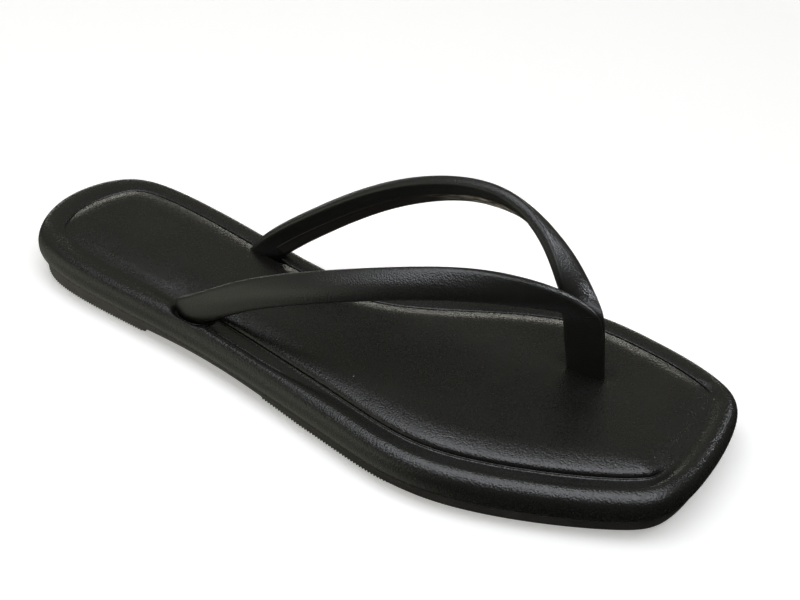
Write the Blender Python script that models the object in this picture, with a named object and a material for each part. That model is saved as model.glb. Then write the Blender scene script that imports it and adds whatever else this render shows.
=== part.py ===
"""Square toe flip-flop for the right foot: moulded outsole, wrapped midsole, padded insole and thong straps.

Sizes are in millimetres and are scaled to metres as meshes are made. A place is given by its station, the
distance from the back of the heel towards the toe, its offset towards the inner (medial) side, and its
height above the floor. The toe points along -Y and the inner side along +X.
"""
import math

import bmesh
import bpy
import numpy as np

MM = 0.001
LENGTH = 250.0
GAP = 0.3                       # clearance between pieces that touch

# Plan outline of the padded rim, once round from the back of the heel along the outer side
OUTLINE = (  # name, station, offset
    ("heel back", 0.0, 5.0),
    ("heel corner, outer", 7.0, -16.5),
    ("heel side, outer", 29.0, -25.5),
    ("waist, outer", 80.0, -30.5),
    ("joint, outer", 138.0, -41.0),
    ("ball, outer", 165.0, -46.0),
    ("little toe", 191.0, -44.0),
    ("toe flank, outer", 232.0, -30.0),
    ("toe corner, outer", 245.0, -20.0),
    ("toe front", 249.7, 2.0),
    ("toe corner, inner", 248.8, 22.0),
    ("toe flank, inner", 242.5, 33.0),
    ("great toe", 211.5, 44.5),
    ("ball, inner", 183.0, 45.5),
    ("joint, inner", 154.0, 35.0),
    ("waist front, inner", 126.0, 22.5),
    ("waist back, inner", 98.0, 22.0),
    ("heel side, inner", 34.0, 31.5),
    ("heel corner, inner", 10.5, 26.0),
)
TOE_MIDDLE = 9                  # row of OUTLINE where the outer and inner sides meet
SIDE_STEPS = 46                 # mesh steps along each side
BEND_CROWDING = 14.0            # how strongly the steps crowd where the outline bends
FILL_SHARES = (0.0, 0.06, 0.15, 0.3, 0.5, 0.7, 0.85, 0.94, 1.0)  # mesh points across the foot
OUTLINE_STEPS = 6001            # close steps along which the outline is measured
MERGE = 1e-7                    # distance in metres within which a cut reuses a mesh point

# Heights along the foot
TREAD_STEP = 0.6                # forefoot tread below the plain underside
HEEL_RISE = 2.4                 # extra lift of the sole at the back of the heel
SHANK_END = 125.0               # station where the heel's lift has run out
RISE_POWER = 1.3
TOE_SPRING = 2.6
SPRING_START = 195.0            # station where the toe starts to lift
BREAST = 59.5                   # front face of the heel block
BREAST_RUN = 1.0
SHANK_ARCH = 1.3                # extra hollow under the shank
TREAD_START = 112.0
TREAD_RUN = 0.6
TREAD_FLAT = 128.0              # station where the tread meets the floor

OUTSOLE_THICK = 4.0
RIM_CENTRE = 8.6                # middle of the padded rim above the outsole's underside

OUTSOLE_SIDE = (  # inset from the outline, height above the underside
    (3.4, 0.0),
    (3.0, 0.7),
    (2.9, 3.6),
    (3.2, OUTSOLE_THICK),
)
HEEL_FLARE = 1.4                # outsole's loss of inset at the back of the heel
PAD_INSET = 12.25               # pad's wall, in from the outline on the outer side
RIM_SECTION = (  # inset from the outline, height from the rim's middle
    (3.4, OUTSOLE_THICK + GAP - RIM_CENTRE),
    (1.7, -3.6),
    (0.45, -2.0),
    (0.0, 0.0),
    (0.5, 2.4),
    (2.1, 4.6),
    (4.6, 5.7),
    (6.8, 5.3),
    (8.6, 4.4),
    (10.3, 3.95),
    (PAD_INSET - GAP, 4.1),
    (PAD_INSET - GAP, -0.5),
)
PAD_SECTION = (  # inset from the outline, height from the rim's middle
    (PAD_INSET, GAP - 0.5),
    (PAD_INSET, 4.0),
    (12.5, 4.7),
    (13.4, 5.4),
)
RIM_NARROWING = 4.5             # rim's loss of width at the inner toe corner
NARROW_WAY = (0.6, 0.8)         # plan direction, toe and inner side, in which the rim is narrowest
PAD_CROWN = 2.6                 # rise from the pad's top edge to its middle
CROWN_RUN = 14.0                # distance from the edge over which the crown rises

# Straps, from the end inside the side slot to the foot of the toe post
OUTER_STRAP = (  # name, upper or front edge (station, offset, height), lower or back edge, thickness
    ("slot end", 55.0, -20.5, 4.1, 61.0, -20.5, -4.1, 4.2),
    ("slot mouth", 75.5, -20.6, 19.3, 81.5, -22.4, 11.3, 4.4),
    ("rise", 97.2, -19.3, 33.6, 101.8, -24.7, 26.4, 4.6),
    ("arch back", 122.2, -15.2, 44.4, 125.8, -22.8, 38.6, 4.6),
    ("arch", 147.1, -8.4, 51.5, 150.9, -15.6, 45.5, 4.6),
    ("arch front", 170.1, 0.6, 54.0, 171.9, -4.6, 45.6, 4.4),
    ("shoulder", 187.3, 8.3, 50.2, 186.0, 6.7, 41.5, 4.0),
    ("fold, above", 197.3, 12.9, 44.9, 190.6, 12.0, 38.9, 3.2),
    ("fold", 203.4, 14.4, 40.5, 192.3, 14.0, 37.0, 2.6),
    ("fold, below", 205.2, 15.0, 37.0, 192.8, 15.0, 33.4, 2.4),
    ("post", 206.8, 15.2, 28.5, 193.7, 15.2, 26.0, 2.4),
    ("post foot", 209.2, 15.2, 0.0, 198.2, 15.2, 0.0, 2.4),
)
INNER_STRAP = (
    ("slot end", 58.4, 17.5, 4.1, 64.6, 17.5, -4.1, 4.2),
    ("slot mouth", 78.8, 15.5, 19.9, 85.2, 17.5, 12.1, 4.4),
    ("rise", 96.8, 20.1, 35.1, 102.2, 22.9, 26.9, 4.6),
    ("arch back", 119.6, 26.3, 49.7, 123.4, 29.7, 40.9, 4.6),
    ("arch", 144.5, 29.8, 59.4, 146.5, 34.2, 50.4, 4.6),
    ("arch front", 167.5, 28.0, 61.0, 167.5, 34.0, 52.8, 4.6),
    ("shoulder", 183.9, 19.9, 52.8, 186.2, 30.2, 47.6, 4.2),
    ("fold, above", 191.4, 15.0, 43.2, 196.6, 25.6, 40.8, 3.4),
    ("fold, below", 193.4, 16.6, 35.0, 203.6, 18.9, 38.4, 2.6),
    ("post", 193.9, 17.2, 26.0, 206.2, 17.2, 28.5, 2.4),
    ("post foot", 198.2, 17.2, 0.0, 208.8, 17.2, 0.0, 2.4),
)
EDGE_COLUMNS = 6                # columns that hold the two edges
OUTER, INNER = -1.0, 1.0        # way that a strap's padded face looks along X at the arch
SECTION_POINTS = 14
STRAP_STEPS = 52
CROWN_SHARE = 0.6               # share of the strap's thickness outside its middle plane
SIDE_FULLNESS = 0.7             # powers that round the section: less is fuller
FACE_FULLNESS = 0.9
BACK_FULLNESS = 0.5

SHARP_RUBBER = 35.0             # degrees of bend that show as a sharp edge
SHARP_LEATHER = 50.0
SHARP_STRAP = 60.0

MATERIALS = (  # name, colour, roughness
    ("moulded rubber", (0.022, 0.021, 0.019), 0.75),
    ("rim leather", (0.018, 0.018, 0.017), 0.50),
    ("pad leather", (0.018, 0.018, 0.017), 0.48),
    ("strap leather", (0.016, 0.016, 0.015), 0.45),
)


def clear_scene():
    for item in list(bpy.data.objects):
        bpy.data.objects.remove(item, do_unlink=True)


def smooth_curve(rows, pacing, closed):
    """Function of 0..1 running smoothly through the rows, paced by the distance in their first columns."""
    nodes = np.array(rows, dtype=float)
    if closed:
        nodes = np.vstack([nodes, nodes[:1]])
    gaps = np.sqrt(np.linalg.norm(np.diff(nodes[:, :pacing], axis=0), axis=1))
    knots = np.concatenate([[0.0], np.cumsum(gaps)])
    slopes = np.diff(nodes, axis=0) / gaps[:, None]
    last = len(nodes) - 1
    system = np.zeros((last + 1, last + 1))
    load = np.zeros_like(nodes)
    for i in range(1, last):
        system[i, i - 1:i + 2] = gaps[i - 1], 2.0 * (gaps[i - 1] + gaps[i]), gaps[i]
        load[i] = 6.0 * (slopes[i] - slopes[i - 1])
    if closed:
        system[0, 0], system[0, last] = 1.0, -1.0
        system[last, 0], system[last, 1] = 2.0 * gaps[0], gaps[0]
        system[last, last - 1], system[last, last] = gaps[-1], 2.0 * gaps[-1]
        load[last] = 6.0 * (slopes[0] - slopes[-1])
    else:
        system[0, 0] = system[last, last] = 1.0
    bends = np.linalg.solve(system, load)

    def at(fraction):
        reach = np.asarray(fraction) * knots[-1]
        i = np.clip(np.searchsorted(knots, reach, side="right") - 1, 0, last - 1)
        step = gaps[i][:, None]
        before = (knots[i + 1] - reach)[:, None] / step
        after = 1.0 - before
        bend = (before ** 3 - before) * bends[i] + (after ** 3 - after) * bends[i + 1]
        return before * nodes[i] + after * nodes[i + 1] + bend * step ** 2 / 6.0

    at.knots = knots / knots[-1]
    return at


def sample_outline():
    """Outline points and outward normals, as many on the outer side as on the inner one."""
    at = smooth_curve([row[1:] for row in OUTLINE], 2, True)
    fine = np.linspace(0.0, 1.0, OUTLINE_STEPS)
    line = at(fine)
    step = np.diff(line, axis=0)
    run = np.linalg.norm(step, axis=1)
    heading = np.unwrap(np.arctan2(step[:, 1], step[:, 0]))
    turn = np.abs(np.diff(heading, append=heading[:1] + math.tau * np.sign(heading[-1] - heading[0])))
    weight = np.concatenate([[0.0], np.cumsum(run + BEND_CROWDING * turn)])
    middle = np.interp(at.knots[TOE_MIDDLE], fine, weight)
    marks = np.concatenate([
        np.linspace(0.0, middle, SIDE_STEPS + 1)[:-1],
        np.linspace(middle, weight[-1], SIDE_STEPS + 1)[:-1],
    ])
    fractions = np.interp(marks, weight, fine)
    points = at(fractions)
    nudge = 0.5 / len(fine)
    along = at((fractions + nudge) % 1.0) - at((fractions - nudge) % 1.0)
    along /= np.linalg.norm(along, axis=1)[:, None]
    outward = np.column_stack([along[:, 1], -along[:, 0]])
    return points, outward


OUTLINE_POINTS, OUTWARD = sample_outline()
MIDDLE = (OUTLINE_POINTS.min(axis=0) + OUTLINE_POINTS.max(axis=0)) / 2.0


def place(station, offset, height):
    """World place in metres, with the origin under the middle of the shoe's box."""
    return np.array([MM * (offset - MIDDLE[1]), MM * (MIDDLE[0] - station), MM * height])


def sole_lift(station):
    """Height of the outsole's plain underside above the floor."""
    heel = np.clip((SHANK_END - station) / SHANK_END, 0.0, None) ** RISE_POWER
    toe = np.clip((station - SPRING_START) / (LENGTH - SPRING_START), 0.0, None) ** 2
    return TREAD_STEP + HEEL_RISE * heel + TOE_SPRING * toe


def rim_middle(station):
    return sole_lift(station) + RIM_CENTRE


def tread_height(station):
    """Height of the outsole's face with its heel block, hollow shank and forefoot tread."""
    off_heel = np.clip((station - BREAST) / BREAST_RUN, 0.0, 1.0)
    on_tread = np.clip((station - TREAD_START) / TREAD_RUN, 0.0, 1.0)
    along_shank = np.clip((station - BREAST) / (TREAD_FLAT - BREAST), 0.0, 1.0)
    hollow = SHANK_ARCH * math.sin(math.pi * along_shank)
    return off_heel * (sole_lift(station) + hollow - on_tread * TREAD_STEP)


def rim_inset(inset):
    """Inset round the outline of a line on the rim or pad, less where the rim is narrow."""
    narrow_side = np.clip(OUTWARD @ np.array(NARROW_WAY), 0.0, None)
    return inset - RIM_NARROWING * narrow_side * min(1.0, inset / PAD_INSET) ** 2


def outsole_inset(inset):
    """Inset round the outline of a line on the outsole, less at the back of the heel."""
    return inset - HEEL_FLARE * np.clip(-OUTWARD[:, 0], 0.0, None)


def inset_ring(insets, base, height):
    """Outline moved in by the insets, at a height above a base that follows the station."""
    plan = OUTLINE_POINTS - OUTWARD * insets[:, None]
    return np.column_stack([plan, base(plan[:, 0]) + height])


def fill_across(bm, ring, crown):
    """Close a ring with cross rows from its outer to its inner side, raised by a crown inside its edge."""
    count = len(ring)
    edge = np.array([vert.co.xy for vert in ring])
    half = count // 2
    rows = [[ring[0]]]
    for k in range(1, half):
        outer, inner = ring[k], ring[count - k]
        row = [outer]
        for share in FILL_SHARES[1:-1]:
            spot = outer.co.lerp(inner.co, share)
            from_edge = np.linalg.norm(edge - np.array(spot.xy), axis=1).min() / MM
            spot.z += MM * crown * (1.0 - (1.0 - min(1.0, from_edge / CROWN_RUN)) ** 2)
            row.append(bm.verts.new(spot))
        rows.append(row + [inner])
    rows.append([ring[half]])
    for near, far in zip(rows, rows[1:]):
        if len(near) == 1:
            for a, b in zip(far, far[1:]):
                bm.faces.new((near[0], a, b))
        elif len(far) == 1:
            for a, b in zip(near, near[1:]):
                bm.faces.new((a, b, far[0]))
        else:
            for j in range(len(FILL_SHARES) - 1):
                bm.faces.new((near[j], near[j + 1], far[j + 1], far[j]))


def body_from_rings(section, insets, base, crown):
    """Closed body whose side is the section's rings, filled level below and with a crown on top."""
    bm = bmesh.new()
    loops = []
    for inset, height in section:
        ring = inset_ring(insets(inset), base, height)
        loops.append([bm.verts.new(place(*spot)) for spot in ring])
    for low, high in zip(loops, loops[1:]):
        for k in range(len(low)):
            follow = (k + 1) % len(low)
            bm.faces.new((low[k], low[follow], high[follow], high[k]))
    fill_across(bm, loops[0], 0.0)
    fill_across(bm, loops[-1], crown)
    return bm


def finish(bm, name, material, sharp_degrees):
    """Object with smooth shading from a finished mesh."""
    bmesh.ops.recalc_face_normals(bm, faces=bm.faces)
    mesh = bpy.data.meshes.new(name)
    bm.to_mesh(mesh)
    bm.free()
    mesh.shade_smooth()
    mesh.set_sharp_from_angle(angle=math.radians(sharp_degrees))
    item = bpy.data.objects.new(name, mesh)
    bpy.context.scene.collection.objects.link(item)
    if material is not None:
        mesh.materials.append(material)
    return item


def make_material(name, colour, roughness):
    material = bpy.data.materials.new(name)
    material.use_nodes = True
    shader = material.node_tree.nodes["Principled BSDF"]
    shader.inputs["Base Color"].default_value = (*colour, 1.0)
    shader.inputs["Roughness"].default_value = roughness
    shader.inputs["Metallic"].default_value = 0.0
    return material


def make_outsole(material):
    bm = body_from_rings(OUTSOLE_SIDE, outsole_inset, sole_lift, 0.0)
    for station in (BREAST, BREAST + BREAST_RUN, TREAD_START, TREAD_START + TREAD_RUN):
        geometry = bm.verts[:] + bm.edges[:] + bm.faces[:]
        bmesh.ops.bisect_plane(bm, geom=geometry, dist=MERGE, plane_co=place(station, 0.0, 0.0),
                               plane_no=(0.0, 1.0, 0.0))
    underside = OUTSOLE_SIDE[1][1] / 2.0
    for vert in bm.verts:
        station = MIDDLE[0] - vert.co.y / MM
        if vert.co.z / MM < sole_lift(station) + underside:
            vert.co.z = MM * tread_height(round(station, 3))
    return finish(bm, "outsole", material, SHARP_RUBBER)


def make_midsole(material):
    bm = body_from_rings(RIM_SECTION, rim_inset, rim_middle, 0.0)
    return finish(bm, "midsole", material, SHARP_LEATHER)


def make_insole(material):
    bm = body_from_rings(PAD_SECTION, rim_inset, rim_middle, PAD_CROWN)
    return finish(bm, "insole", material, SHARP_LEATHER)


def strap_section(width, thick):
    """Points of a D-shaped section: distance along the width, and outwards from the middle plane."""
    points = []
    for k in range(SECTION_POINTS):
        angle = math.tau * (k + 0.5) / SECTION_POINTS
        across, out = math.cos(angle), math.sin(angle)
        wide = math.copysign(abs(across) ** SIDE_FULLNESS, across) * width / 2.0
        if out > 0.0:
            points.append((wide, out ** FACE_FULLNESS * thick * CROWN_SHARE))
        else:
            points.append((wide, -abs(out) ** BACK_FULLNESS * thick * (1.0 - CROWN_SHARE)))
    return points


def loft_strap(table, side, grow):
    """Closed strap between a table's two edges, grown all round by a clearance."""
    at = smooth_curve([row[1:] for row in table], EDGE_COLUMNS, False)
    rows = at(np.linspace(0.0, 1.0, STRAP_STEPS + 1))
    upper = np.array([place(*row[:3]) for row in rows])
    lower = np.array([place(*row[3:EDGE_COLUMNS]) for row in rows])
    centre = (upper + lower) / 2.0
    run = np.gradient(centre, axis=0)
    bm = bmesh.new()
    loops = []
    for k, row in enumerate(rows):
        wide = upper[k] - lower[k]
        width = np.linalg.norm(wide)
        wide /= width
        face = side * np.cross(wide, run[k])
        face /= np.linalg.norm(face)
        loop = []
        for across, out in strap_section(width / MM + 2.0 * grow, row[EDGE_COLUMNS] + 2.0 * grow):
            loop.append(bm.verts.new(centre[k] + MM * (wide * across + face * out)))
        loops.append(loop)
    for near, far in zip(loops, loops[1:]):
        for k in range(SECTION_POINTS):
            follow = (k + 1) % SECTION_POINTS
            bm.faces.new((near[k], near[follow], far[follow], far[k]))
    bm.faces.new(loops[0])
    bm.faces.new(loops[-1])
    bmesh.ops.recalc_face_normals(bm, faces=bm.faces)
    return bm


def cut_level(bm, station_low, station_high, height):
    """Cut off what lies below a level height, within a range of stations, and close the cut."""
    faces = []
    for face in bm.faces:
        station = MIDDLE[0] - face.calc_center_median().y / MM
        if station_low < station < station_high:
            faces.append(face)
    verts = {vert for face in faces for vert in face.verts}
    edges = {edge for face in faces for edge in face.edges}
    bmesh.ops.bisect_plane(bm, geom=list(verts) + list(edges) + faces, dist=MERGE,
                           plane_co=(0.0, 0.0, MM * height), plane_no=(0.0, 0.0, -1.0), clear_outer=True)
    open_edges = [edge for edge in bm.edges if edge.is_boundary]
    bmesh.ops.holes_fill(bm, edges=open_edges)


def end_height(table, row):
    """Level of a strap's cut end, just clear of the outsole's top."""
    return sole_lift(table[row][1]) + OUTSOLE_THICK + GAP


def make_strap(table, side, name, material):
    bm = loft_strap(table, side, 0.0)
    half_way = table[len(table) // 2][1]
    cut_level(bm, 0.0, half_way, end_height(table, 0))
    cut_level(bm, half_way, LENGTH, end_height(table, -1))
    return finish(bm, name, material, SHARP_STRAP)


def make_cutter(table, side, name):
    cutter = finish(loft_strap(table, side, GAP), name, None, SHARP_STRAP)
    cutter.hide_render = True
    cutter.display_type = "WIRE"
    return cutter


def boolean(item, other, operation):
    modifier = item.modifiers.new(operation.lower() + " " + other.name, "BOOLEAN")
    modifier.operation = operation
    modifier.object = other
    modifier.solver = "EXACT"


def main():
    clear_scene()
    rubber, rim_leather, pad_leather, strap_leather = [make_material(*row) for row in MATERIALS]
    make_outsole(rubber)
    midsole = make_midsole(rim_leather)
    insole = make_insole(pad_leather)
    straps = make_strap(OUTER_STRAP, OUTER, "straps", strap_leather)
    inner_half = make_strap(INNER_STRAP, INNER, "inner strap half", strap_leather)
    inner_half.hide_render = True
    inner_half.display_type = "WIRE"
    boolean(straps, inner_half, "UNION")
    for table, side, name in ((OUTER_STRAP, OUTER, "outer slot"), (INNER_STRAP, INNER, "inner slot")):
        cutter = make_cutter(table, side, name)
        boolean(midsole, cutter, "DIFFERENCE")
        boolean(insole, cutter, "DIFFERENCE")


main()
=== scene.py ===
"""Looks of a black square toe flip-flop for the right foot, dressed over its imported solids.

Sizes are in millimetres until a mesh is made. A place is given by its station, the distance from the
back of the heel towards the toe, its offset towards the inner side, and its height above the floor.
"""
import math

import bmesh
import bpy
import numpy as np
from mathutils import Matrix, Vector, noise


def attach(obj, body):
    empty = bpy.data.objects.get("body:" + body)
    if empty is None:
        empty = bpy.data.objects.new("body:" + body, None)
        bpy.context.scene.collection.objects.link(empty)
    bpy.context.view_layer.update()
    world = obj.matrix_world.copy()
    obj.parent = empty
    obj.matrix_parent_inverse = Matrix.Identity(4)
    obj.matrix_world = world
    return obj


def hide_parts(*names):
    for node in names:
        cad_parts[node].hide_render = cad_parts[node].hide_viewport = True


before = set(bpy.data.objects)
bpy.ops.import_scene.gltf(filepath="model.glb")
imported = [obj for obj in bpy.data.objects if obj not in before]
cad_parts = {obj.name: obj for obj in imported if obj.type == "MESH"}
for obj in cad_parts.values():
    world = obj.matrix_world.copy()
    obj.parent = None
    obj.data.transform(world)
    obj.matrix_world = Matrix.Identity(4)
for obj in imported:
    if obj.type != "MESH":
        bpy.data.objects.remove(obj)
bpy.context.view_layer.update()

MM = 0.001
LENGTH = 250.0

# Plan outline of the padded rim, once round from the back of the heel along the outer side
OUTLINE = (  # name, station, offset
    ("heel back", 0.0, 5.0),
    ("heel corner, outer", 7.0, -16.5),
    ("heel side, outer", 29.0, -25.5),
    ("waist, outer", 80.0, -30.5),
    ("joint, outer", 138.0, -41.0),
    ("ball, outer", 165.0, -46.0),
    ("little toe", 191.0, -44.0),
    ("toe flank, outer", 232.0, -30.0),
    ("toe corner, outer", 245.0, -20.0),
    ("toe front", 249.7, 2.0),
    ("toe corner, inner", 248.8, 22.0),
    ("toe flank, inner", 242.5, 33.0),
    ("great toe", 211.5, 44.5),
    ("ball, inner", 183.0, 45.5),
    ("joint, inner", 154.0, 35.0),
    ("waist front, inner", 126.0, 22.5),
    ("waist back, inner", 98.0, 22.0),
    ("heel side, inner", 34.0, 31.5),
    ("heel corner, inner", 10.5, 26.0),
)
TOE_MIDDLE = 9                  # row of OUTLINE where the outer and inner sides meet
OUTLINE_SAMPLES = 6001          # close points from which the mesh steps are picked
SIDE_STEPS = 270                # mesh steps along each side
BEND_CROWDING = 14.0            # how strongly the steps crowd where the outline bends
FILL_COLUMNS = 44               # mesh steps across the foot

# Heights along the foot
TREAD_STEP = 0.6
HEEL_RISE = 2.4
SHANK_END = 125.0
RISE_POWER = 1.3
TOE_SPRING = 2.6
SPRING_START = 195.0
BREAST = 59.5                   # front face of the heel block
BREAST_RUN = 1.0
SHANK_ARCH = 1.3
TREAD_START = 112.0
TREAD_RUN = 0.6
TREAD_FLAT = 128.0
OUTSOLE_THICK = 4.0
RIM_CENTRE = 8.6                # middle of the padded rim above the outsole's plain underside

OUTSOLE_SIDE = (  # inset from the outline, height above the underside
    (3.5, 0.0),
    (3.1, 0.25),
    (3.0, 0.8),
    (2.9, 2.2),
    (2.9, 3.5),
    (3.05, 3.85),
    (3.4, OUTSOLE_THICK),
)
HEEL_FLARE = 1.4                # outsole's loss of inset at the back of the heel
TREAD_BAND = 0.9                # height up to which the outsole's side follows the tread

# Rim, from its tucked lower edge round the roll to the lip beside the pad
RIM_SECTION = (  # inset and height from the rim's middle
    (3.4, -4.3),
    (1.7, -3.6),
    (0.45, -2.0),
    (0.0, 0.0),
    (0.5, 2.4),
    (2.3, 4.55),
    (5.2, 5.7),
    (6.9, 5.36),
    (8.0, 4.82),
    (9.1, 4.3),
    (10.2, 3.98),
    (11.1, 3.97),
    (11.5, 4.02),
    (11.8, 3.98),
    (11.95, 3.5),
)
CREST_ROW = 6
LIP_ROW = 11
# The same rows from the crest on, where the rim differs
DRAWN_ROWS = (  # outer side in front of the slot: the strap draws the roll up to a fold and a flat band
    (3.9, 5.4),
    (5.2, 4.95),
    (5.95, 4.1),
    (6.4, 3.95),
    (7.4, 4.15),
    (11.0, 4.1),
    (11.5, 4.1),
    (11.8, 3.9),
    (11.95, 3.4),
)
FLAT_ROWS = (  # inner side and back of the heel: low and flat up to the crease
    (4.4, 5.0),
    (6.2, 5.02),
    (7.8, 4.95),
    (9.0, 4.85),
    (10.2, 4.76),
    (11.0, 4.68),
    (11.5, 4.55),
    (11.8, 4.3),
    (11.95, 3.7),
)
GENTLE_ROWS = (  # toe front and outer side of the heel: a soft roll above a shallow trough
    (4.9, 5.42),
    (6.7, 5.28),
    (8.1, 5.0),
    (9.3, 4.72),
    (10.4, 4.52),
    (11.1, 4.46),
    (11.5, 4.45),
    (11.8, 4.38),
    (11.95, 3.8),
)
HEEL_FILL = 0.48                # how much higher the pad's soft edge stands beside the shallow trough
BEAD = (0.0, 0.28, 0.25)        # small ridge along an open crease, in the three rows from the lip
RECESS_FLOOR = -0.5
PROFILE_STEPS = 72
RIM_WIDTH = 11.9
NARROWINGS = (  # plan direction towards toe and inner side, the rim's loss of width there, sharpness
    ((0.6, 0.8), 4.4, 1.0),
    ((-0.75, -0.66), 1.7, 4.0),
)
NARROW_EASE = 0.35              # softness with which the loss sets in

# Pad, from its base up its wall to its top edge: inset and height from the rim's middle
ROUND_EDGE = (  # outer side, beside an open crease
    (12.25, -0.2),
    (12.12, 3.8),
    (12.25, 4.35),
    (12.65, 4.85),
    (13.5, 5.38),
    (15.0, 5.88),
)
TIGHT_EDGE = (  # inner side and back of the heel
    (12.25, -0.2),
    (12.15, 3.8),
    (12.25, 4.4),
    (12.5, 4.78),
    (12.95, 5.1),
    (13.8, 5.46),
)
SOFT_EDGE = (  # toe front and outer heel, where pad and rim run into each other
    (12.25, -0.2),
    (9.9, 3.76),
    (10.9, 4.0),
    (12.4, 4.24),
    (13.4, 4.45),
    (14.8, 4.82),
)
PAD_STEPS = 34
PAD_TOP = (6.4, 6.8)            # crowned top above the rim's middle, at the heel and the forefoot
CROWN_RUN = (7.0, 5.0, 13.0)    # distance over which the top rises from a round, a tight and a soft edge
CROWN_EDGE_STEP = 3             # every third point of the edge shapes the crown
EDGE_SOFTENING = 0.05           # square of the distance under which edge points share their pull
CORNER_RADIUS = 1.5             # circle over which the rise is averaged, so that it turns corners softly
CORNER_PROBES = 10

# Where rim and pad change their form, as first and last station
HEEL_TURN = (1.0, 14.0)         # from the back of the heel to its outer side
INNER_TOE_TURN = (234.0, 246.0)  # from the inner side to the toe front
SLOT_APPROACH = (52.0, 74.0)    # from the outer heel to the side slot
DRAWN_START = (82.0, 90.0)      # fold in front of the slot
DRAWN_END = (106.0, 142.0)
HEEL_CREASE_END = (0.5, 9.0)
CREASE_START = (66.0, 84.0)
INNER_CREASE_END = (238.0, 246.0)
OUTER_CREASE_END = (-17.0, -3.0)  # the same along the toe front, as offsets
FOREFOOT = 200.0                # station past which the toe front lies
LEVEL_CHANGE = (60.0, 110.0)    # from the pad's heel height to its forefoot height

WAVES = ((0.17, 25.0), (0.05, 8.0))  # height and length of the slight waves of hand work

# Side slots, where the rim stands away from the pad and the straps go down between them
SLOTS = (  # middle, half length, outer side, rim wall's inset, push and drop of the roll, pad's push
    (78.2, 8.2, True, 3.6, 2.2, 0.7, 0.3),
    (85.0, 7.5, False, 8.6, 0.0, 0.0, 1.0),
)
POST_FOOT = ((194.5, 16.2), (208.0, 16.2))  # back and front of the toe post where it enters the pad
POST_DENT = 0.5
POST_DENT_RUN = 3.0

# Straps, from the end inside the side slot to the foot of the toe post
OUTER_STRAP = (  # name, upper or front edge (station, offset, height), lower or back edge, thickness
    ("slot end", 72.6, -18.5, 5.0, 81.2, -20.0, -0.5, 4.2),
    ("slot bend", 72.2, -20.8, 16.8, 80.4, -22.8, 10.2, 4.8),
    ("slot mouth", 76.8, -21.4, 20.8, 83.6, -24.0, 13.4, 5.0),
    ("rise", 97.2, -19.3, 33.6, 101.8, -24.7, 26.4, 4.6),
    ("arch back", 122.2, -15.2, 44.4, 125.8, -22.8, 38.6, 4.6),
    ("arch", 147.1, -8.4, 51.5, 150.9, -15.6, 45.5, 4.6),
    ("arch front", 170.1, 0.6, 54.0, 171.9, -4.6, 45.6, 4.4),
    ("shoulder", 187.3, 8.3, 50.2, 186.0, 6.7, 41.5, 4.0),
    ("fold, above", 197.3, 12.9, 44.9, 190.6, 12.0, 38.9, 3.2),
    ("fold", 203.4, 14.4, 40.5, 192.3, 14.0, 37.0, 2.6),
    ("fold, below", 205.2, 15.0, 37.0, 192.8, 15.0, 33.4, 2.4),
    ("post", 206.8, 15.2, 28.5, 193.7, 15.2, 26.0, 2.4),
    ("post foot", 209.2, 15.2, 0.0, 198.2, 15.2, 0.0, 2.4),
)
INNER_STRAP = (
    ("slot end", 69.5, 16.4, 4.1, 76.5, 17.4, -2.0, 4.2),
    ("slot mouth", 78.8, 15.6, 19.6, 86.2, 17.8, 12.8, 4.4),
    ("rise", 96.8, 20.1, 35.1, 102.2, 22.9, 26.9, 4.6),
    ("arch back", 119.6, 26.3, 49.7, 123.4, 29.7, 40.9, 4.6),
    ("arch", 144.5, 29.8, 59.4, 146.5, 34.2, 50.4, 4.6),
    ("arch front", 167.5, 28.0, 61.0, 167.5, 34.0, 52.8, 4.6),
    ("shoulder", 183.9, 19.9, 52.8, 186.2, 30.2, 47.6, 4.2),
    ("fold, above", 191.4, 15.0, 43.2, 196.6, 25.6, 40.8, 3.4),
    ("fold, below", 193.4, 16.6, 35.0, 203.6, 18.9, 38.4, 2.6),
    ("post", 193.9, 17.2, 26.0, 206.2, 17.2, 28.5, 2.4),
    ("post foot", 198.2, 17.2, 0.0, 208.8, 17.2, 0.0, 2.4),
)
OUTER, INNER = -1.0, 1.0        # way that a strap's face looks along X
STRAP_SECTION = (  # share of half the width, and of the thickness outwards from the middle plane
    (1.0, 0.0),
    (0.97, 0.22),
    (0.88, 0.39),
    (0.45, 0.53),
    (0.05, 0.58),
    (-0.35, 0.55),
    (-0.78, 0.36),
    (-0.96, 0.17),
    (-1.0, 0.0),
    (-0.95, -0.26),
    (-0.8, -0.38),
    (0.0, -0.42),
    (0.8, -0.38),
    (0.95, -0.26),
)
BACK_ROW = 8                    # first row of the section's flat back
SECTION_POINTS = 64
STRAP_STEPS = 420
FOLD_RUN = (-0.004, 0.004)      # share of the strap's length over which the post steps back at the fold
FOLD_STEP = 0.3                 # share of the thickness lost there
STRAP_END = 10.2                # height at which the straps end inside the slots
POST_END = 10.6                 # height at which the toe post ends inside the pad
CUT_TOLERANCE = 1e-7            # in metres

# Lining film on the back of each strap
LINING_RUN = (0.12, 0.74)       # first and last share of the strap's length
LINING_SPAN = (-0.88, -0.05)    # lower and upper edge, in shares of half the strap's width
LINING_STEPS = 300
LINING_POINTS = 14
LINING_THICK = 0.16
WRINKLE_MIDDLE = 0.525          # share of the strap's length
WRINKLE_RUN = 0.07
WRINKLE_HEIGHT = 0.32
WRINKLE_LENGTH = 7.0
WRINKLE_CLOSENESS = 1.6         # wrinkles to a millimetre across the film

# Tread ribs under the heel and the forefoot
RIB_PITCH = 1.15
RIB_RADIUS = 0.3
RIB_SIDES = 8
RIB_INSET = 3.1
RIB_DRAW_IN = 1.5               # how much farther from the edge the ribs end towards the toe
RIB_DRAW_RUN = (160.0, 180.0)
RIB_FIELDS = ((2.5, 58.5), (113.0, 247.0))  # first and last station

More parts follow.
